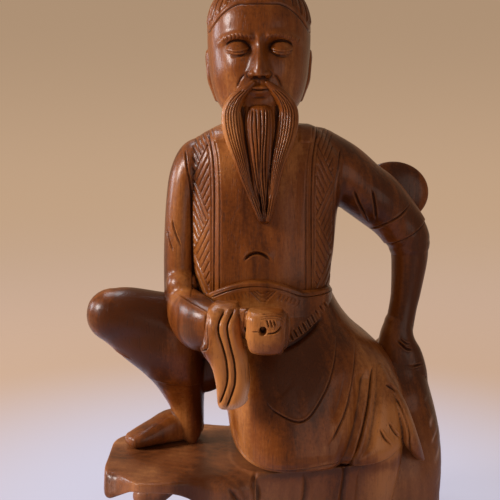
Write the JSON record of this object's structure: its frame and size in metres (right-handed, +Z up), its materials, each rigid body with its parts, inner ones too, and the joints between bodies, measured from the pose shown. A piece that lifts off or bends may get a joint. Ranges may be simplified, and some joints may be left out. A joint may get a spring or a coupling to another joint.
{
  "type": "wooden monk figurine",
  "caption": "Carved hardwood figurine of a seated, long-bearded monk in a robe, one foot raised on a rock ledge, one hand in a fist with an empty rod hole.",
  "frame": {"origin": "on the sawn underside, below the monk's chest", "axes": "+Z up; the monk faces -Y; +X is to the viewer's right"},
  "size_m": [0.2642, 0.1623, 0.3957],
  "materials": {
    "carved_wood": "reddish-brown hardwood under a satin varnish"
  },
  "bodies": {
    "root": {"carved_figure": "carved_wood"}
  },
  "joints": []
}
